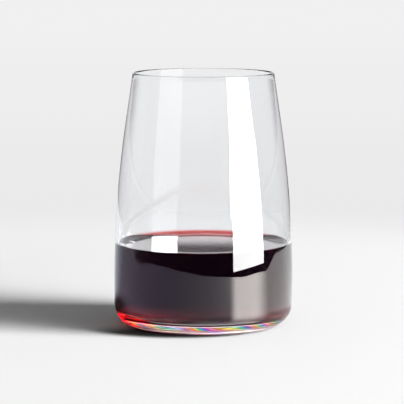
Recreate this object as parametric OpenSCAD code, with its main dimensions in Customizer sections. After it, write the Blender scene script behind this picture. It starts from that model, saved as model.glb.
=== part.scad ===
// Stemless wine glass with red wine in it. Millimetres, +Z up, origin at the centre of the
// standing ring, so that the glass stands on the plane z = 0.
// Both pieces are turned round the same upright axis. The glass is blown in one piece: a straight
// tapered mouth runs into a slowly curving wall, a widest level low down, a rounded heel and a
// thick base with a shallow hollow under it. The wine fills the bowl up to its calm level and
// climbs the wall in a meniscus.

/* [Glass] */
// Overall height of the glass
glass_h = 124; // [112:1:140]
// Outer diameter at the widest level
belly_d = 88; // [80:1:98]
// Height of the widest level above the table
belly_z = 18.5; // [15:0.5:24]
// Height at which the curved wall becomes straight
straight_z = 100; // [75:1:108]
// Outer diameter over the rim
rim_d = 69; // [62:1:76]
// Thickness of the wall at the rim
rim_wall = 1.2; // [0.8:0.1:2]
// Thickness of the wall at the widest level
belly_wall = 1.7; // [1.2:0.1:3]

/* [Base] */
// Outer diameter of the ring that the glass stands on
ring_d = 69; // [60:1:74]
// Width of the flat of that ring
ring_w = 3.5; // [2:0.5:8]
// Height of the rounded heel outside
heel_h = 11.4; // [8:0.2:14]
// Depth of the hollow under the base
hollow_h = 1.2; // [0.4:0.1:2.5]
// Thickness of the base at its centre
base_t = 4.6; // [3:0.2:8]
// Height of the rounding between the bowl's floor and its wall
bowl_heel_h = 8; // [5:0.5:14]
// Width of that rounding, seen from above
bowl_heel_w = 8; // [5:0.5:20]

/* [Wine] */
// Depth of the wine at the centre of the bowl
wine_depth = 33.4; // [20:0.2:60]
// Capillary length of wine, which sets how far the meniscus reaches
capillary_l = 2.2; // [1.8:0.1:2.8]
// Angle between the wine's surface and the glass where they meet
contact_a = 48; // [5:1:60]
// Film of clearance round the wine, which lets it turn in the bowl
wine_gap = 0.05; // [0.03:0.01:0.1]

/* [Quality] */
// Points along the curved part of the wall
wall_steps = 28; // [12:1:60]
// Points along each rounding
arc_steps = 12; // [6:1:24]
// Points along the meniscus
meniscus_steps = 16; // [8:1:30]

/* [Hidden] */
$fn = 128;

clear_glass = [0.86, 0.9, 0.91, 0.4];
red_wine = [0.2, 0.01, 0.04];

belly_r = belly_d / 2;
rim_r = rim_d / 2;
ring_r = ring_d / 2;
lip_r = rim_wall / 2;
floor_z = hollow_h + base_t;

function spaced(from, to, n) = [for (i = [0:n]) from + (to - from) * i / n];
function between(value, low, high) = min(max(value, low), high);
function reversed(points) = [for (i = [len(points) - 1:-1:0]) points[i]];
function without_first(points) = [for (i = [1:len(points) - 1]) points[i]];

// The wall is a parabola from the widest level up to straight_z, and its tangent from there on.
curved_h = straight_z - belly_z;
wall_bend = (belly_r - rim_r) / (pow(curved_h, 2) + 2 * curved_h * (glass_h - straight_z));
mouth_slope = 2 * wall_bend * curved_h;
mouth_a = atan(mouth_slope);

// The lip is a half round between the end of the outer wall and the end of the inner one.
lip_z = glass_h - lip_r;
outer_end_z = lip_z + lip_r * sin(mouth_a);
inner_end_z = lip_z - lip_r * sin(mouth_a);
mouth_wall = rim_wall / cos(mouth_a);

function outer_r(z) =
    belly_r
    - wall_bend * pow(between(z, belly_z, straight_z) - belly_z, 2)
    - mouth_slope * max(z - straight_z, 0);
function wall_t(z) =
    belly_wall
    + (mouth_wall - belly_wall) * (between(z, belly_z, inner_end_z) - belly_z) / (inner_end_z - belly_z);
function inner_r(z) = outer_r(z) - wall_t(z);

// The rounding from the bowl's floor up to its wall is a quarter of an ellipse.
bowl_join_z = floor_z + bowl_heel_h;
bowl_floor_r = inner_r(bowl_join_z) - bowl_heel_w;

// Hollow under the base: a raised cosine, level with the ring where they meet.
hollow_r = ring_r - ring_w;
function hollow_points() =
    [for (r = spaced(0, hollow_r, arc_steps)) [r, hollow_h * (1 + cos(180 * r / hollow_r)) / 2]];

// Rounded heel outside: a quarter of an ellipse from the ring up to the widest radius.
function heel_points() =
    [for (a = spaced(0, 90, arc_steps)) [ring_r + (belly_r - ring_r) * sin(a), heel_h * (1 - cos(a))]];

function outer_wall_points() =
    concat(
        [for (z = spaced(belly_z, straight_z, wall_steps)) [outer_r(z), z]],
        [[outer_r(outer_end_z), outer_end_z]]
    );

function lip_points() =
    let (centre_r = outer_r(outer_end_z) - lip_r * cos(mouth_a))
    [for (a = spaced(mouth_a, mouth_a + 180, arc_steps)) [centre_r + lip_r * cos(a), lip_z + lip_r * sin(a)]];

function inner_wall_points() =
    [for (z = spaced(straight_z, max(belly_z, bowl_join_z), wall_steps)) [inner_r(z), z]];

// The bowl's rounding, drawn in by gap, from the wall down to the floor.
function bowl_points(gap) =
    [for (a = spaced(90, 0, arc_steps)) [
        bowl_floor_r + (bowl_heel_w - gap) * sin(a),
        bowl_join_z - (bowl_heel_h - gap) * cos(a)
    ]];

// Meniscus of a liquid at an upright wall: where its surface slopes by the angle a, it stands
// 2 l sin(a / 2) above its calm level, l being the capillary length, and its distance from the
// wall follows from the second function. It starts level enough at calm_slope_a.
function meniscus_rise(a) = 2 * capillary_l * sin(a / 2);
function meniscus_reach(a) = -capillary_l * (ln(tan(a / 4)) + 2 * cos(a / 2));

calm_z = floor_z + wine_depth;
calm_slope_a = 0.6;
wall_slope_a = 90 - contact_a;
contact_z = calm_z + meniscus_rise(wall_slope_a);
wine_edge_r = inner_r(contact_z) - wine_gap;

function meniscus_points() =
    [for (i = [0:meniscus_steps])
        let (a = wall_slope_a * pow(calm_slope_a / wall_slope_a, i / meniscus_steps))
        [
            wine_edge_r - meniscus_reach(a) + meniscus_reach(wall_slope_a),
            calm_z + meniscus_rise(a)
        ]
    ];

function wine_wall_points() =
    [for (z = spaced(bowl_join_z, contact_z, arc_steps)) [inner_r(z) - wine_gap, z]];

// The whole glass: one closed outline, from the middle of the hollow round the rim to the middle
// of the bowl's floor.
module tumbler() {
    color(clear_glass)
    rotate_extrude()
    polygon(concat(
        hollow_points(),
        heel_points(),
        outer_wall_points(),
        without_first(lip_points()),
        inner_wall_points(),
        bowl_points(0),
        [[0, floor_z]]
    ));
}

// The wine: the bowl's shape drawn in by the film of clearance, under its curved surface.
module wine() {
    color(red_wine)
    rotate_extrude()
    polygon(concat(
        [[0, floor_z + wine_gap]],
        reversed(bowl_points(wine_gap)),
        without_first(wine_wall_points()),
        without_first(meniscus_points()),
        [[0, calm_z]]
    ));
}

tumbler();
wine();
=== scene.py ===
import math

import bpy
import numpy as np
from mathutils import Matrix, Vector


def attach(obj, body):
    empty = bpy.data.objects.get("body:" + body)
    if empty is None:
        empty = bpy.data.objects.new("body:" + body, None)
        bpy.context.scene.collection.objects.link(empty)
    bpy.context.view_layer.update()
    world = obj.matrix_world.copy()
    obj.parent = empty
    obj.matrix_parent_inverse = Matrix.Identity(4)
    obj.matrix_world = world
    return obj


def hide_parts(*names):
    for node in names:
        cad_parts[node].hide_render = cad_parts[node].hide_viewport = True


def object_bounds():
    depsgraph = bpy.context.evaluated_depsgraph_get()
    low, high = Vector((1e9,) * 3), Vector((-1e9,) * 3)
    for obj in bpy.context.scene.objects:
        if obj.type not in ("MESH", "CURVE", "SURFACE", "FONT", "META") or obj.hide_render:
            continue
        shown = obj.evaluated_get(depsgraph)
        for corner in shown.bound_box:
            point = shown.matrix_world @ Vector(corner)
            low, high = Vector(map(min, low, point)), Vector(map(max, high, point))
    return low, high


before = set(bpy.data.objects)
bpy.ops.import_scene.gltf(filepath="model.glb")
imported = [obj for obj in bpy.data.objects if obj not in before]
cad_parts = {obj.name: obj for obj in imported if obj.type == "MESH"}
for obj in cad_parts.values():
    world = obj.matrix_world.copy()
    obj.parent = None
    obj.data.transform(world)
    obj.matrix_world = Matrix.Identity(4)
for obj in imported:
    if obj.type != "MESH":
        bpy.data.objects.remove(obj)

cadLow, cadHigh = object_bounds()

# The glass stands on z = 0 at the origin. Sizes are in metres and angles in degrees. Azimuth 0 is the front
# and 90 the right, and elevation 0 is level.
smooth = {"interpolation_type": "SMOOTHSTEP"}


# Each channel c of an sRGB hex colour becomes c / 12.92 up to 0.04045, else ((c + 0.055) / 1.055) ^ 2.4.
def linear(hexColour):
    c = np.array([int(hexColour[i:i + 2], 16) / 255 for i in (1, 3, 5)])
    return [*np.where(c <= 0.04045, c / 12.92, ((c + 0.055) / 1.055) ** 2.4), 1.0]


# Adds a node. Inputs are values, sockets or nodes, whose first output in use is meant, in the order of its
# sockets. None leaves one alone, and named gives inputs by name. Stops are the places and colours of a ramp,
# and settings are the node's own properties.
def addNode(tree, kind, *inputs, named=None, stops=(), **settings):
    node = tree.nodes.new("ShaderNode" + kind)
    for name, value in settings.items():
        setattr(node, name, value)
    for place, colour in stops:
        node.color_ramp.elements.new(place).color = colour
    if stops:  # the two that a new ramp has
        node.color_ramp.elements.remove(node.color_ramp.elements[0])
        node.color_ramp.elements.remove(node.color_ramp.elements[-1])
    for key, value in [*enumerate(inputs), *(named or {}).items()]:
        if value is None:
            continue
        if isinstance(value, bpy.types.Node):
            value = next(output for output in value.outputs if output.enabled)
        if isinstance(value, bpy.types.NodeSocket):
            tree.links.new(value, node.inputs[key])
        else:
            node.inputs[key].default_value = value
    return node


def newMaterial(name):
    material = bpy.data.materials.new(name)
    material.use_nodes = True
    material.node_tree.nodes.clear()
    return material


# Azimuth of a point as 0 to 1, where 0.5 is the front and 0.75 the right: atan2(x, -y) / 360 + 0.5.
def bearing(tree, coord):
    parts = addNode(tree, "SeparateXYZ", coord).outputs
    away = addNode(tree, "Math", parts["Y"], -1.0, operation="MULTIPLY")
    angle = addNode(tree, "Math", parts["X"], away, operation="ARCTAN2")
    return addNode(tree, "Math", angle, 0.5 / math.pi, 0.5, operation="MULTIPLY_ADD")


# A level over the value where: none up to start, all from full to fade, and none again after end.
def band(tree, where, start, full, fade, end, level):
    level = addNode(tree, "MapRange", where, start, full, 0.0, level, **smooth)
    return addNode(tree, "MapRange", where, fade, end, level, 0.0, **smooth)


# The same between azimuths.
def sector(tree, turn, azimuths, level):
    return band(tree, turn, *[azimuth / 360 + 0.5 for azimuth in azimuths], level)


tumblerSizes = {
    "bellyHeight": 0.0185,      # where the wall is widest
    "straightFrom": 0.100,      # the curved wall runs into a straight mouth here
    "rimDiameter": 0.069,
    "rimWall": 0.0012,
    "bellyWall": 0.0017,
    "ringDiameter": 0.069,      # outside of the ring that the glass stands on
    "ringWidth": 0.0035,
    "heelHeight": 0.0114,
    "hollowDepth": 0.0012,
    "baseThickness": 0.0046,
    "bowlHeelHeight": 0.008,
    "bowlHeelWidth": 0.008,
    "segments": 384,            # round the axis
    # points along each stretch of the outline; the inner wall is wet below the wine's edge
    "points": {"hollow": 26, "heel": 40, "outside": 50, "lip": 22, "dry": 34, "wet": 14, "bowl": 30},
}


# The wall's radius falls from the widest level as a parabola, bend up ^ 2, and from straightFrom on by its
# slope. The inner radius is smaller by a thickness that runs evenly from bellyWall to the rim's.
def makeWall(sizes, low, high):
    bellyR = (high[0] - low[0]) / 2
    rimR = sizes["rimDiameter"] / 2
    height = high[2]
    curved = sizes["straightFrom"] - sizes["bellyHeight"]
    bend = (bellyR - rimR) / (curved ** 2 + 2 * curved * (height - sizes["straightFrom"]))
    slope = 2 * bend * curved
    mouth = math.atan(slope)
    lipR = sizes["rimWall"] / 2
    lipZ = height - lipR
    outerEnd = lipZ + lipR * math.sin(mouth)
    innerEnd = lipZ - lipR * math.sin(mouth)
    mouthWall = sizes["rimWall"] / math.cos(mouth)

    def outer(z):
        z = np.asarray(z, float)
        up = np.clip(z, sizes["bellyHeight"], sizes["straightFrom"]) - sizes["bellyHeight"]
        return bellyR - bend * up ** 2 - slope * np.maximum(z - sizes["straightFrom"], 0)

    def inner(z):
        z = np.asarray(z, float)
        up = np.clip(z, sizes["bellyHeight"], innerEnd) - sizes["bellyHeight"]
        share = up / (innerEnd - sizes["bellyHeight"])
        return outer(z) - sizes["bellyWall"] - (mouthWall - sizes["bellyWall"]) * share

    floorZ = sizes["hollowDepth"] + sizes["baseThickness"]
    joinZ = floorZ + sizes["bowlHeelHeight"]
    floorR = float(inner(joinZ)) - sizes["bowlHeelWidth"]
    return {
        "outer": outer, "inner": inner, "bellyR": bellyR, "mouth": mouth, "lipR": lipR, "lipZ": lipZ,
        "outerEnd": outerEnd, "innerEnd": innerEnd, "floorZ": floorZ, "joinZ": joinZ, "floorR": floorR,
    }


# Outline of the glass, rows of r, z, from the middle of the hollow round the rim to the middle of the bowl.
# The hollow is a raised cosine, the heel and the bowl's rounding are quarters of ellipses: r = a sin t,
# z = b (1 - cos t), and the lip is a half circle.
def tumblerProfile(sizes, wall, contact):
    points = sizes["points"]
    ringR = sizes["ringDiameter"] / 2
    hollowR = ringR - sizes["ringWidth"]
    r = np.linspace(0, hollowR, points["hollow"])
    hollow = np.c_[r, sizes["hollowDepth"] * (1 + np.cos(np.pi * r / hollowR)) / 2]
    a = np.linspace(0, np.pi / 2, points["heel"])
    heel = np.c_[ringR + (wall["bellyR"] - ringR) * np.sin(a), sizes["heelHeight"] * (1 - np.cos(a))]
    z = np.linspace(sizes["bellyHeight"], wall["outerEnd"], points["outside"])
    outside = np.c_[wall["outer"](z), z]
    t = np.linspace(wall["mouth"], wall["mouth"] + np.pi, points["lip"])[1:]
    lipCentre = float(wall["outer"](wall["outerEnd"])) - wall["lipR"] * math.cos(wall["mouth"])
    lip = np.c_[lipCentre + wall["lipR"] * np.cos(t), wall["lipZ"] + wall["lipR"] * np.sin(t)]
    z = np.linspace(wall["innerEnd"], contact, points["dry"])[1:]
    dry = np.c_[wall["inner"](z), z]
    z = np.linspace(contact, wall["joinZ"], points["wet"])[1:]
    wet = np.c_[wall["inner"](z), z]
    a = np.linspace(np.pi / 2, 0, points["bowl"])[1:]
    bowl = np.c_[
        wall["floorR"] + sizes["bowlHeelWidth"] * np.sin(a),
        wall["joinZ"] - sizes["bowlHeelHeight"] * np.cos(a),
    ]
    floor = np.array([[wall["floorR"] / 2, wall["floorZ"]], [0, wall["floorZ"]]])
    above = np.concatenate([hollow, heel, outside, lip, dry])
    return np.concatenate([above, wet, bowl, floor]), len(above) - 1


wineSizes = {
    "depth": 0.0334,            # at the middle of the bowl
    "capillaryLength": 0.0022,
    "contactAngle": 48.0,
    "flatAngle": 0.6,           # slope at which the meniscus counts as level
    "intoWall": 0.00002,        # the wine's side lies this far inside the wall, so no air shows between
    "points": {"bottom": 8, "bowl": 34, "side": 18, "meniscus": 40, "calm": 12},
}


# Outline of the wine: floor, rounding, side up to the contact line, then the meniscus to the middle. Where
# the surface slopes by s it stands 2 l sin(s / 2) above the calm level, at -l (ln tan(s / 4) + 2 cos(s / 2))
# from a fixed point of the level, l being the capillary length. What is left of that rise dies away towards
# the middle as exp(-distance / l).
def wineProfile(sizes, wall, tumbler):
    points = sizes["points"]
    into = sizes["intoWall"]
    length = sizes["capillaryLength"]
    steepest = math.radians(90 - sizes["contactAngle"])
    calm = wall["floorZ"] + sizes["depth"]
    contact = calm + 2 * length * math.sin(steepest / 2)
    a = np.linspace(0, np.pi / 2, points["bowl"])
    bowl = np.c_[
        wall["floorR"] + (tumbler["bowlHeelWidth"] + into) * np.sin(a),
        wall["joinZ"] - (tumbler["bowlHeelHeight"] + into) * np.cos(a),
    ]
    z = np.linspace(wall["joinZ"], contact, points["side"])[1:]
    side = np.c_[wall["inner"](z) + into, z]
    slopes = steepest * (math.radians(sizes["flatAngle"]) / steepest) ** np.linspace(0, 1, points["meniscus"])
    reach = -length * (np.log(np.tan(slopes / 4)) + 2 * np.cos(slopes / 2))
    edge = float(wall["inner"](contact))
    top = np.c_[edge - reach + reach[0], calm + 2 * length * np.sin(slopes / 2)]
    r = np.linspace(top[-1, 0], 0, points["calm"])[1:]
    calmTop = np.c_[r, np.full_like(r, calm)]
    calmTop[:-1, 1] += (top[-1, 1] - calm) * np.exp((r[:-1] - top[-1, 0]) / length)
    r = np.linspace(0, bowl[0, 0], points["bottom"])[:-1]
    bottom = np.c_[r, np.full_like(r, wall["floorZ"] - into)]
    below = len(bottom) + len(bowl) + len(side)
    return np.concatenate([bottom, bowl, side, top, calmTop]), (below - 1, below), contact


# Surface of revolution: the point r cos u, r sin u, z for each r, z of the profile and each u round the
# axis. Rings of the profile that are listed as corners get sharp edges.
def spun(name, profile, segments, corners=()):
    u = np.linspace(0, 2 * np.pi, segments, endpoint=False)
    rings = profile[1:-1]
    r, z = rings[:, :1], rings[:, 1:]
    body = np.stack([r * np.cos(u), r * np.sin(u), np.broadcast_to(z, (len(rings), segments))], axis=-1)
    verts = np.concatenate([[[0, 0, profile[0, 1]]], body.reshape(-1, 3), [[0, 0, profile[-1, 1]]]])
    j = np.arange(segments)
    k = (j + 1) % segments
    i = np.arange(len(rings) - 1)[:, None] * segments + 1
    quads = np.stack([i + j, i + k, i + segments + k, i + segments + j], axis=-1).reshape(-1, 4)
    last = 1 + (len(rings) - 1) * segments
    start = np.stack([np.zeros_like(j), 1 + k, 1 + j], axis=-1)
    end = np.stack([last + j, last + k, np.full_like(j, len(verts) - 1)], axis=-1)
    loops = np.concatenate([start.ravel(), quads.ravel(), end.ravel()])
    sizes = np.concatenate([np.full(segments, 3), np.full(len(quads), 4), np.full(segments, 3)])
    mesh = bpy.data.meshes.new(name)
    mesh.vertices.add(len(verts))
    mesh.vertices.foreach_set("co", verts.ravel())
    mesh.loops.add(len(loops))
    mesh.loops.foreach_set("vertex_index", loops.astype(np.int32))
    mesh.polygons.add(len(sizes))
    mesh.polygons.foreach_set("loop_start", np.concatenate([[0], np.cumsum(sizes)[:-1]]).astype(np.int32))
    mesh.update(calc_edges=True)
    mesh.validate()
    mesh.shade_smooth()
    ends = np.empty(2 * len(mesh.edges), np.int32)
    mesh.edges.foreach_get("vertices", ends)
    ring = (ends.reshape(-1, 2) - 1) // segments + 1
    sharp = (ring[:, 0] == ring[:, 1]) & np.isin(ring[:, 0], corners)
    mesh.attributes.new("sharp_edge", "BOOLEAN", "EDGE").data.foreach_set("value", sharp)
    piece = bpy.data.objects.new(name, mesh)
    bpy.context.scene.collection.objects.link(piece)
    return piece


# Soda-lime glass, blown and fire-polished: perfectly smooth, faintly cool, with gentle waves from the
# blowing. Its thick base splits the light into thin lines of colour, which a painted tint round the heel
# stands for, and a painted shade darkens the heel's bottom on the side away from the lamp.
glassFinish = {
    "colour": "#fdfeff",
    "ior": 1.52,
    "waveLength": 0.018,            # from wave to wave
    "waveHeight": 0.00001,
    "splitTop": 0.008,
    "split": (                      # height as a share of splitTop, and how strong the colours are there
        (0.10, 0.0), (0.15, 0.2), (0.28, 0.2), (0.37, 0.4), (0.43, 0.9), (0.47, 1.0), (0.58, 1.0),
        (0.64, 0.4), (0.74, 0.2), (0.86, 0.0),
    ),
    "turnsRound": 14,               # how often the colours repeat round the glass
    "turnHeight": 0.007,            # and over the height
    "drift": 2.2,                   # how far they wander, in repeats
    "driftLength": 0.026,
    "paleLength": 0.014,            # between them lie paler stretches
    "pale": (0.34, 0.48, 0.8, 1.0),
    "colours": (
        (0.0, "#ff0000"), (0.12, "#ff8000"), (0.24, "#fff020"), (0.36, "#00ff30"), (0.50, "#00c8ff"),
        (0.62, "#0030ff"), (0.76, "#6a00ff"), (0.88, "#ff0080"), (1.0, "#ff0000"),
    ),
    # below them a painted shade darkens the base on the side away from the lamp
    "paintedShadeAzimuths": (-150, -110, -12, 2),
    "paintedShadeHeight": (0.0017, 0.0030),
    "paintedShadeShare": 0.95,
    "paintedShadeColour": "#240c12",
    # and a thin painted dark line runs on towards the lit side
    "paintedLineHeight": (0.0021, 0.0024, 0.0028, 0.0032),
    "paintedLineAzimuths": (-150, -110, 8, 46),
    "paintedLineShare": 0.96,
}


# The painted split light of the rounded heel: the colours' place in the row is turns round the axis plus
# height plus a drift. Under them a painted shade and a painted dark line darken the heel away from the lamp.
def paintedSplitLightAndShade(tree, coord, clear):
    turn = bearing(tree, coord)
    height = addNode(tree, "SeparateXYZ", coord).outputs["Z"]
    repeats = addNode(tree, "Math", height, glassFinish["turnHeight"], operation="DIVIDE")
    place = addNode(tree, "Math", turn, glassFinish["turnsRound"], repeats, operation="MULTIPLY_ADD")
    drift = addNode(tree, "TexNoise", coord, named={"Scale": 1 / glassFinish["driftLength"], "Detail": 0.0})
    place = addNode(tree, "Math", drift, glassFinish["drift"], place, operation="MULTIPLY_ADD")
    place = addNode(tree, "Math", place, operation="FRACT")
    row = [(where, linear(hexColour)) for where, hexColour in glassFinish["colours"]]
    streaks = addNode(tree, "ValToRGB", place, stops=row)
    strength = [(where, (level, level, level, 1)) for where, level in glassFinish["split"]]
    share = addNode(tree, "Math", height, glassFinish["splitTop"], operation="DIVIDE")
    share = addNode(tree, "ValToRGB", share, stops=strength)
    pale = addNode(tree, "TexNoise", coord, named={"Scale": 1 / glassFinish["paleLength"], "Detail": 0.0})
    pale = addNode(tree, "MapRange", pale, *glassFinish["pale"], **smooth)
    share = addNode(tree, "Math", share, pale, operation="MULTIPLY")
    radius = addNode(tree, "VectorMath", coord, (0, 0, 0), operation="DISTANCE")
    heel = addNode(tree, "Math", radius, tumblerSizes["ringDiameter"] / 2, operation="GREATER_THAN")
    share = addNode(tree, "Math", share, heel, operation="MULTIPLY")
    colour = addNode(tree, "MixRGB", share, clear, streaks)
    # painted shade along the heel's bottom away from the lamp, and a painted dark line, mixed into the glass
    # colour
    dark = addNode(tree, "MapRange", height, *glassFinish["paintedShadeHeight"], heel, 0.0, **smooth)
    dark = sector(tree, turn, glassFinish["paintedShadeAzimuths"], dark)
    dark = addNode(tree, "Math", dark, glassFinish["paintedShadeShare"], operation="MULTIPLY")
    line = band(tree, height, *glassFinish["paintedLineHeight"], glassFinish["paintedLineShare"])
    line = sector(tree, turn, glassFinish["paintedLineAzimuths"], line)
    line = addNode(tree, "Math", line, heel, operation="MULTIPLY")
    dark = addNode(tree, "Math", dark, line, operation="MAXIMUM")
    return addNode(tree, "MixRGB", dark, colour, linear(glassFinish["paintedShadeColour"]))


# Where wine lies against the glass it mirrors nothing, which a black specular tint gives.
def glassMaterial(name, specularTint, split):
    material = newMaterial(name)
    tree = material.node_tree
    coord = addNode(tree, "TexCoord").outputs["Object"]
    waves = addNode(tree, "TexNoise", coord, named={"Scale": 1 / glassFinish["waveLength"], "Detail": 0.0})
    bump = addNode(tree, "Bump", named={
        "Height": waves, "Strength": 1.0, "Distance": glassFinish["waveHeight"],
    })
    colour = linear(glassFinish["colour"])
    if split:
        colour = paintedSplitLightAndShade(tree, coord, colour)
    shader = addNode(tree, "BsdfPrincipled", named={
        "Base Color": colour, "Roughness": 0.0, "IOR": glassFinish["ior"],
        "Transmission Weight": 1.0, "Specular Tint": linear(specularTint), "Normal": bump,
    })
    addNode(tree, "OutputMaterial", shader)
    return material


# Red wine: clear, so its colour is only what it absorbs on the way. Thin layers look red, deep ones black.
wineFinish = {
    "ior": 1.345,
    "absorption": (76.0, 1000.0, 1000.0),   # per metre, of red, green and blue
}


# What a volume keeps of light over a distance d is exp(-a d), and its absorption a is (1 - colour) density.
# A colour can't be negative, so the density is the strongest absorption.
def wineMaterial(name):
    material = newMaterial(name)
    tree = material.node_tree
    shader = addNode(tree, "BsdfPrincipled", named={
        "Base Color": linear("#ffffff"), "Roughness": 0.0, "IOR": wineFinish["ior"],
        "Transmission Weight": 1.0, "Specular Tint": linear("#000000"),
    })
    density = max(wineFinish["absorption"])
    keeps = [1 - a / density for a in wineFinish["absorption"]]
    volume = addNode(tree, "VolumeAbsorption", (*keeps, 1.0), density)
    addNode(tree, "OutputMaterial", shader, volume)
    return material


cameraSetup = {
    "place": (-0.00068, -1.066, 0.1926),
    "pitch": -7.08,
    "lens": 194.5,              # millimetres, as is the sensor
    "sensor": 36.0,
    "clipEnd": 20.0,
}


def makeCamera():
    data = bpy.data.cameras.new("camera")
    data.lens = cameraSetup["lens"]
    data.sensor_width = cameraSetup["sensor"]
    data.clip_end = cameraSetup["clipEnd"]
    camera = bpy.data.objects.new("camera", data)
    camera.location = cameraSetup["place"]
    camera.rotation_euler = (math.radians(90 + cameraSetup["pitch"]), 0, 0)
    bpy.context.scene.collection.objects.link(camera)
    bpy.context.scene.camera = camera


# A flat stage piece through these corners, which the rays listed as hidden don't meet.
def flatPiece(name, points, material, hidden):
    mesh = bpy.data.meshes.new(name)
    mesh.from_pydata([list(map(float, p)) for p in points], [], [list(range(len(points)))])
    mesh.materials.append(material)
    piece = bpy.data.objects.new(name, mesh)
    bpy.context.scene.collection.objects.link(piece)
    for ray in hidden:
        setattr(piece, "visible_" + ray, False)


floorSetup = {
    "reach": 8.0,
    "segments": 128,
    "drop": 0.00005,                # keeps the floor clear of the standing ring
    "colour": "#f8f8f8",
    "evenFrom": (0.2, 0.42),        # between these radii the lit paper passes into an even pale level
    "evenLevels": ((0.16, "#f9f9f9"), (0.48, "#eaeaea"), (1.6, "#eeeeee"), (3.2, "#f0f0f0")),
    "evenReach": 4.0,
    "underRadius": (0.046, 0.07),   # a painted glow lies on the floor under the base, seen through the glass
    "underLevel": 0.6,
    "contactPlace": (-0.0125, 0.0144, 0.0),     # round this lies a painted shade where the heel meets the floor
    "contactRadius": (0.050, 0.060),
    "contactAzimuths": (-85, -55, 15, 40),
    "contactShare": 0.88,           # what it takes of the paper's colour
    "glareFrom": (0.1, 0.13),       # a painted glare of the lamp lies on it in front, where the glass mirrors it
    "glareAzimuths": (37, 40, 81, 86),
    "glareLevel": 1.2,
}


# White paper, which is matt and takes the shadow of the glass. Its colour also holds a painted shade where
# the heel meets it, and rays through the glass see a painted glow under the base and a painted glare in
# front.
def makeFloor():
    material = newMaterial("whitePaper")
    tree = material.node_tree
    coord = addNode(tree, "TexCoord").outputs["Object"]
    turn = bearing(tree, coord)
    radius = addNode(tree, "VectorMath", coord, (0, 0, 0), operation="DISTANCE")
    path = addNode(tree, "LightPath").outputs
    # a painted shade in the paper's colour where the heel meets the floor
    contact = addNode(tree, "VectorMath", coord, floorSetup["contactPlace"], operation="DISTANCE")
    contact = addNode(
        tree, "MapRange", contact, *floorSetup["contactRadius"], floorSetup["contactShare"], 0.0, **smooth)
    contact = sector(tree, turn, floorSetup["contactAzimuths"], contact)
    colour = addNode(tree, "MixRGB", contact, linear(floorSetup["colour"]), linear("#000000"))
    paper = addNode(tree, "BsdfDiffuse", colour)
    reach = floorSetup["evenReach"]
    levels = [(distance / reach, linear(hexColour)) for distance, hexColour in floorSetup["evenLevels"]]
    even = addNode(tree, "Math", radius, reach, operation="DIVIDE")
    even = addNode(tree, "ValToRGB", even, stops=levels)
    even.color_ramp.interpolation = "EASE"
    even = addNode(tree, "Emission", even)
    early = addNode(tree, "Math", path["Diffuse Depth"], 0.5, operation="LESS_THAN")
    through = addNode(tree, "Math", path["Is Transmission Ray"], early, operation="MULTIPLY")
    straight = addNode(tree, "Math", path["Is Camera Ray"], through, operation="MAXIMUM")
    share = addNode(tree, "MapRange", radius, *floorSetup["evenFrom"], 0.0, straight, **smooth)
    seen = addNode(tree, "MixShader", share, paper, even)
    # a painted glow under the base, seen only through the glass
    under = addNode(
        tree, "MapRange", radius, *floorSetup["underRadius"], floorSetup["underLevel"], 0.0, **smooth)
    # a painted glare of the lamp, seen only through the glass after a mirror
    glare = addNode(
        tree, "MapRange", radius, *floorSetup["glareFrom"], 0.0, floorSetup["glareLevel"], **smooth)
    glare = sector(tree, turn, floorSetup["glareAzimuths"], glare)
    mirrored = addNode(tree, "Math", path["Glossy Depth"], 0.5, operation="GREATER_THAN")
    glare = addNode(tree, "Math", glare, mirrored, operation="MULTIPLY")
    extra = addNode(tree, "Math", under, glare, operation="ADD")
    extra = addNode(tree, "Math", extra, through, operation="MULTIPLY")
    both = addNode(tree, "AddShader", seen, addNode(tree, "Emission", None, extra))
    addNode(tree, "OutputMaterial", both)
    u = np.linspace(0, 2 * np.pi, floorSetup["segments"], endpoint=False)
    points = np.c_[np.cos(u), np.sin(u), 0 * u] * floorSetup["reach"] - [0, 0, floorSetup["drop"]]
    flatPiece("floor", points, material, ["glossy"])


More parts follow.
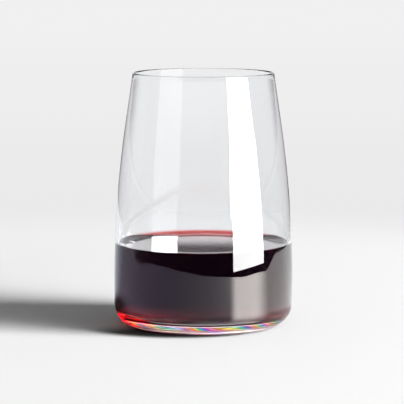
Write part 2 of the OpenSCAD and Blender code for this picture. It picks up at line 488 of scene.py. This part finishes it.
tableSetup = {
    "drop": 0.0001,
    # outline of the white table that the glass mirrors: azimuth and reach
    "edge": (
        (-180, 0.6), (-100, 0.6), (-90, 0.5), (-82, 0.42), (-75, 0.37), (-68, 0.378), (-47, 0.369),
        (-22, 0.339), (2, 0.306), (25, 0.291), (50, 0.273), (69, 0.288), (82, 0.282), (91, 0.335),
        (102, 0.402), (113, 0.385), (150, 0.35),
    ),
    "smoothing": 9,                 # degrees over which that outline is averaged
    # painted light on it, brighter towards the lamp: azimuth, level and tint
    "light": (
        (-180, 1.1, "#fafafa"), (-152, 1.05, "#f2f5fc"), (-134, 0.98, "#e2e8fa"), (-118, 0.68, "#e2dcf4"),
        (-98, 0.95, "#e2d4f8"), (-80, 1.0, "#e2d2fa"), (-40, 0.88, "#e6d6f8"), (-18, 0.98, "#ece2f8"),
        (-4, 1.12, "#f2e6f8"), (10, 1.4, "#f2e8f8"), (24, 1.95, "#f4eaf8"), (34, 2.9, "#faf2f6"),
        (86, 3.1, "#faf0f0"), (104, 2.5, "#faf2f4"), (113, 2.25, "#faf4f6"), (125, 2.0, "#fafafa"),
        (147, 1.3, "#fafafa"), (165, 1.1, "#fafafa"),
    ),
    # painted shadows on it: centre, the radii between which the light comes back, and the share of it that is
    # left
    "paintedShadows": (
        ((-0.075, 0.035, 0.0), 0.016, 0.06, 0.1),
        ((-0.43, -0.06, 0.0), 0.06, 0.125, 0.1),
        ((0.0, 0.0, 0.0), 0.048, 0.095, 0.32),
    ),
    "nearShadePlace": (-0.02, 0.0, 0.0),     # painted shade under the heel
    "nearShadeRadius": (0.03, 0.06),
    "nearShadeLevel": 0.06,
    # a painted glare of the lamp, a sector round this centre
    "glareCentre": (0.0037, -0.0277, 0.0),
    "glareAzimuths": (32.5, 45, 68, 93),
    "glareRadius": (0.046, 0.066),
    "glareLevel": 8.8,
    "glareTint": "#fff8f4",
    # painted light that the wine has coloured, which lies close to the glass in streaks
    "redRadius": (0.05, 0.11),
    "redAzimuths": (-92, -66, -45, 10),
    "redLevels": (0.55, 2.2),
    "redTint": "#ff2e70",
    "redStreak": 0.018,             # from streak to streak
    "redNoise": (0.42, 0.62),       # where in the noise they begin and are full
    # its brightest part, a painted red glow, lies under the heel
    "emberRadius": (0.037, 0.041, 0.050, 0.056),
    "emberAzimuths": (-120, -95, -56, -34),
    "emberLevels": (0.0, 8.0),
    "emberTint": "#ff0410",
    "emberStreaks": (14.0, 420.0),  # streaks round the glass and outwards, per turn and per metre
    "emberNoise": (0.44, 0.6),
}


# A white table, which only reflections see, drawn as painted light: its light, painted shadows, painted glare
# and painted red glow are emission set by azimuth and radius. It ends in a smooth closed curve through
# tableSetup's edge: reach over azimuth, run along straight lines and then averaged over a few degrees.
def makeTable():
    material = newMaterial("whiteTablePaintedReflection")
    tree = material.node_tree
    coord = addNode(tree, "TexCoord").outputs["Object"]
    turn = bearing(tree, coord)
    radius = addNode(tree, "VectorMath", coord, (0, 0, 0), operation="DISTANCE")
    # painted light on the table over azimuth, brighter towards the lamp
    most = max(level for _, level, _ in tableSetup["light"])
    levels = [
        (azimuth / 360 + 0.5, [c * level / most for c in linear(tint)[:3]] + [1])
        for azimuth, level, tint in tableSetup["light"]
    ]
    light = addNode(tree, "ValToRGB", turn, stops=levels)
    # painted shade under the heel
    near = addNode(tree, "VectorMath", coord, tableSetup["nearShadePlace"], operation="DISTANCE")
    near = addNode(
        tree, "MapRange", near, *tableSetup["nearShadeRadius"], tableSetup["nearShadeLevel"], 1.0, **smooth)
    strength = addNode(tree, "Math", near, most, operation="MULTIPLY")
    # painted shadows on the table
    for centre, dark, clear, left in tableSetup["paintedShadows"]:
        shade = addNode(tree, "VectorMath", coord, centre, operation="DISTANCE")
        shade = addNode(tree, "MapRange", shade, dark, clear, left, 1.0, **smooth)
        strength = addNode(tree, "Math", shade, strength, operation="MULTIPLY")
    # painted glare of the lamp
    aside = addNode(tree, "VectorMath", coord, tableSetup["glareCentre"], operation="SUBTRACT")
    glare = addNode(
        tree, "MapRange", radius, *tableSetup["glareRadius"], 0.0, tableSetup["glareLevel"], **smooth)
    glare = sector(tree, bearing(tree, aside), tableSetup["glareAzimuths"], glare)
    # painted red light that the wine has coloured
    red = addNode(tree, "TexNoise", coord, named={"Scale": 1 / tableSetup["redStreak"], "Detail": 1.0})
    red = addNode(tree, "MapRange", red, *tableSetup["redNoise"], *tableSetup["redLevels"])
    red = addNode(tree, "MapRange", radius, *tableSetup["redRadius"], red, 0.0, **smooth)
    red = sector(tree, turn, tableSetup["redAzimuths"], red)
    red = addNode(tree, "Math", near, red, operation="MULTIPLY")
    # painted red glow under the heel
    perTurn, perMetre = tableSetup["emberStreaks"]
    around = addNode(tree, "Math", turn, perTurn, operation="MULTIPLY")
    outwards = addNode(tree, "Math", radius, perMetre, operation="MULTIPLY")
    polar = addNode(tree, "CombineXYZ", around, outwards)
    ember = addNode(tree, "TexNoise", polar, named={"Scale": 1.0, "Detail": 0.0})
    ember = addNode(tree, "MapRange", ember, *tableSetup["emberNoise"], *tableSetup["emberLevels"])
    ember = band(tree, radius, *tableSetup["emberRadius"], ember)
    ember = sector(tree, turn, tableSetup["emberAzimuths"], ember)
    # emission of the painted light, painted glare, painted red light and painted red glow
    both = addNode(tree, "Emission", light, strength)
    for kind, level in (("glare", glare), ("red", red), ("ember", ember)):
        glow = addNode(tree, "Emission", linear(tableSetup[kind + "Tint"]), level)
        both = addNode(tree, "AddShader", both, glow)
    addNode(tree, "OutputMaterial", both)
    azimuth, reach = np.array(tableSetup["edge"]).T
    a = np.arange(-180.0, 180.0)
    r = np.interp(a, np.r_[azimuth, 180], np.r_[reach, reach[0]])
    soft = np.hanning(tableSetup["smoothing"] + 2)[1:-1]
    half = tableSetup["smoothing"] // 2
    r = np.convolve(np.r_[r[-half:], r, r[:half]], soft / soft.sum(), "valid")
    a = np.radians(a)
    points = np.c_[r * np.sin(a), -r * np.cos(a), 0 * a - tableSetup["drop"]]
    flatPiece("table", points, material, ["camera", "diffuse", "transmission", "shadow", "volume_scatter"])


# One softbox, in three outlines of azimuth and elevation: what lights the floor, what the front of the glass
# mirrors, and what the back of the glass and the wine mirror. It is dimmer in its upper part.
lampSetup = {
    "distance": 4.0,
    "middle": 61,
    "dimFrom": (6, 10),             # elevations between which it grows dimmer
    "lit": {
        "strengths": (23.0, 23.0),
        "hidden": ("camera", "glossy", "transmission"),
        "corners": (
            (38, -5.7), (84, -5.7), (84, 44), (70, 44), (62, 36), (57, 25), (52, 17), (47, 11.4), (41, 8),
            (38, 2),
        ),
    },
    "front": {
        "strengths": (22.0, 10.0),
        "hidden": ("camera", "diffuse", "transmission", "shadow"),
        "corners": (
            (38.3, -5.9), (46, -5.75), (54, -5.68), (61, -5.65), (68, -5.65), (76, -5.65), (83.5, -5.68),
            (82.5, 0), (81, 4), (79.5, 8), (76.5, 11), (75, 16), (40, 16), (39, 10), (38.3, 2),
        ),
    },
    "back": {
        "strengths": (44.0, 8.0),
        "hidden": ("camera", "diffuse", "glossy", "shadow"),
        "corners": (
            (36.8, -5.7), (61, -5.65), (84, -5.7), (75.5, 4), (79, 12), (79, 25), (38, 25), (38, 8),
            (36.8, 5),
        ),
    },
}


# The corner at azimuth a and elevation e is d sin a, -d cos a, d tan e, on a plane that faces the glass.
def makeLamp(kind):
    lamp = lampSetup[kind]
    distance = lampSetup["distance"]
    material = newMaterial("softboxCloth_" + kind)
    tree = material.node_tree
    height = addNode(tree, "SeparateXYZ", addNode(tree, "TexCoord").outputs["Object"]).outputs["Z"]
    dim = [distance * math.tan(math.radians(e)) for e in lampSetup["dimFrom"]]
    strength = addNode(tree, "MapRange", height, *dim, *lamp["strengths"], **smooth)
    if kind == "back":  # seen only by way of a mirror, and not straight through the glass
        mirrored = addNode(tree, "LightPath").outputs["Glossy Depth"]
        mirrored = addNode(tree, "Math", mirrored, 0.5, operation="GREATER_THAN")
        strength = addNode(tree, "Math", strength, mirrored, operation="MULTIPLY")
    addNode(tree, "OutputMaterial", addNode(tree, "Emission", None, strength))
    a, e = np.radians(np.array(lamp["corners"], float)).T
    d = distance / np.cos(a - math.radians(lampSetup["middle"]))
    points = np.c_[d * np.sin(a), -d * np.cos(a), d * np.tan(e)]
    flatPiece("softbox_" + kind, points, material, lamp["hidden"])


worldSetup = {
    "room": 0.22,                   # plain light from all round
    "seen": 0.87,                   # for the camera
    "darkLevels": (0.075, 0.02),    # what glass mirrors where there is nothing, below and above the horizon
    "darkTint": "#ffb0ff",
    "backRise": (0, 8),             # the backdrop grows brighter between these elevations
    "backLevels": (0.87, 1.75),
    "backTop": (14, 22),            # and ends between these
    "backSpread": (37, 23),         # degrees from straight back at which it starts and is full
    "gapWidth": (1.4, 1.66),        # a dark gap in its middle: half its width
    "gapFrom": (8.03, 8.3),         # elevations at which the gap starts
    "gapRise": (8.3, 8.5),          # and at which it grows a little brighter
    "gapLevels": (0.0, 0.09),
    "dimTo": (7.85, 7.93),          # the middle is dim up to these elevations
    "dimLevel": 0.08,
    "cornerFrom": (8.5, 9.1),       # above these it is dark left of the middle and dim right of it
    "cornerWidth": (0.7, 1.4),
    "cornerLevels": (0.02, 0.28),
    "deepLevel": 3.4,               # more light for what has gone round inside the thick base,
    "deepAfter": 7,                 # which takes more turns than this
    "frontSpread": (42.3, 60),      # degrees from straight back at which the pale room starts and is full
    "frontLevel": 0.7,
    "frontRise": (7, 15),           # through glass a bright panel shows between these elevations
    "frontFall": (24, 34),          # and these, and little light above it
    "frontTop": 3.0,
    "frontHigh": 0.25,
}


# Height of a direction of length 1 at each elevation: sin e. It serves for small angles aside too.
def rises(elevations):
    return [math.sin(math.radians(e)) for e in elevations]


# How far a direction of length 1 points straight back, at each angle from there: cos a.
def backward(angles):
    return [math.cos(math.radians(a)) for a in angles]


# Glass and wine mirror a backdrop with a dark gap behind, and a pale room in front with a bright panel.
def makeWorld():
    world = bpy.data.worlds.new("studio")
    bpy.context.scene.world = world
    world.use_nodes = True
    tree = world.node_tree
    tree.nodes.clear()
    way = addNode(tree, "SeparateXYZ", addNode(tree, "TexCoord").outputs["Generated"]).outputs
    path = addNode(tree, "LightPath").outputs
    back = addNode(
        tree, "MapRange", way["Z"], *rises(worldSetup["backRise"]), *worldSetup["backLevels"], **smooth)
    back = addNode(tree, "MapRange", way["Z"], *rises(worldSetup["backTop"]), back, 0.0, **smooth)
    gap = addNode(
        tree, "MapRange", way["Z"], *rises(worldSetup["gapRise"]), *worldSetup["gapLevels"], **smooth)
    gap = addNode(tree, "MapRange", way["Z"], *rises(worldSetup["gapFrom"]), back, gap, **smooth)
    gap = addNode(
        tree, "MapRange", way["Z"], *rises(worldSetup["dimTo"]), worldSetup["dimLevel"], gap, **smooth)
    side = addNode(tree, "Math", way["X"], operation="ABSOLUTE")
    back = addNode(tree, "MapRange", side, *rises(worldSetup["gapWidth"]), gap, back, **smooth)
    right = addNode(tree, "Math", way["X"], 0.0, operation="GREATER_THAN")
    corner = addNode(tree, "MapRange", right, 0.0, 1.0, *worldSetup["cornerLevels"])
    corner = addNode(tree, "MapRange", side, *rises(worldSetup["cornerWidth"]), 1.0, corner, **smooth)
    corner = addNode(tree, "MapRange", way["Z"], *rises(worldSetup["cornerFrom"]), 1.0, corner, **smooth)
    back = addNode(tree, "Math", back, corner, operation="MULTIPLY")
    back = addNode(tree, "MapRange", way["Y"], *backward(worldSetup["backSpread"]), 0.0, back, **smooth)
    plain = worldSetup["frontLevel"]
    front = addNode(
        tree, "MapRange", way["Z"], *rises(worldSetup["frontRise"]), plain, worldSetup["frontTop"], **smooth)
    front = addNode(
        tree, "MapRange", way["Z"], *rises(worldSetup["frontFall"]), front, worldSetup["frontHigh"], **smooth)
    front = addNode(tree, "MapRange", path["Is Transmission Ray"], 0.0, 1.0, plain, front)
    front = addNode(tree, "MapRange", way["Y"], *backward(worldSetup["frontSpread"]), 0.0, front, **smooth)
    both = addNode(tree, "Math", back, front, operation="ADD")
    deep = addNode(tree, "Math", path["Ray Depth"], worldSetup["deepAfter"], operation="GREATER_THAN")
    deep = addNode(tree, "Math", deep, worldSetup["deepLevel"], operation="MULTIPLY")
    both = addNode(tree, "Math", both, deep, operation="ADD")
    above = addNode(tree, "Math", way["Z"], 0.0, operation="GREATER_THAN")
    mirrored = addNode(tree, "Math", both, above, operation="MULTIPLY")
    sharp = addNode(tree, "Math", path["Is Glossy Ray"], path["Is Transmission Ray"], operation="MAXIMUM")
    early = addNode(tree, "Math", path["Diffuse Depth"], 0.5, operation="LESS_THAN")
    sharp = addNode(tree, "Math", sharp, early, operation="MULTIPLY")
    level = addNode(tree, "MapRange", sharp, 0.0, 1.0, worldSetup["room"], mirrored)
    level = addNode(tree, "MapRange", path["Is Camera Ray"], 0.0, 1.0, level, worldSetup["seen"])
    dark = addNode(tree, "MapRange", above, 0.0, 1.0, *worldSetup["darkLevels"])
    dark = addNode(tree, "Math", sharp, dark, operation="MULTIPLY")
    dark = addNode(tree, "Background", linear(worldSetup["darkTint"]), dark)
    light = addNode(tree, "Background", None, level)
    addNode(tree, "OutputWorld", addNode(tree, "AddShader", light, dark))


scene = bpy.context.scene
scene.view_settings.view_transform = "Standard"
scene.cycles.sample_clamp_indirect = 40     # light turns often inside the glass
scene.cycles.max_bounces = 32
scene.cycles.glossy_bounces = 24
scene.cycles.transmission_bounces = 24

makeCamera()
makeFloor()
makeTable()
for kind in ("lit", "front", "back"):
    makeLamp(kind)
makeWorld()
print("studio ready")

wall = makeWall(tumblerSizes, cadLow, cadHigh)
wineOutline, wineCorners, contact = wineProfile(wineSizes, wall, tumblerSizes)
tumblerOutline, wetFrom = tumblerProfile(tumblerSizes, wall, contact)

tumbler = spun("blown_glass", tumblerOutline, tumblerSizes["segments"])
tumbler.data.materials.append(glassMaterial("sodaLimeGlass", "#ffffff", True))
tumbler.data.materials.append(glassMaterial("wettedGlass", "#000000", False))
slots = np.zeros(len(tumbler.data.polygons), np.int32)
slots[wetFrom * tumblerSizes["segments"]:] = 1
tumbler.data.polygons.foreach_set("material_index", slots)
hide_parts("tumbler")
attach(tumbler, "glass")
print("glass", len(tumbler.data.polygons))

wine = spun("poured_wine", wineOutline, tumblerSizes["segments"], wineCorners)
wine.data.materials.append(wineMaterial("redWine"))
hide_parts("wine")
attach(wine, "wine")
print("wine", len(wine.data.polygons))
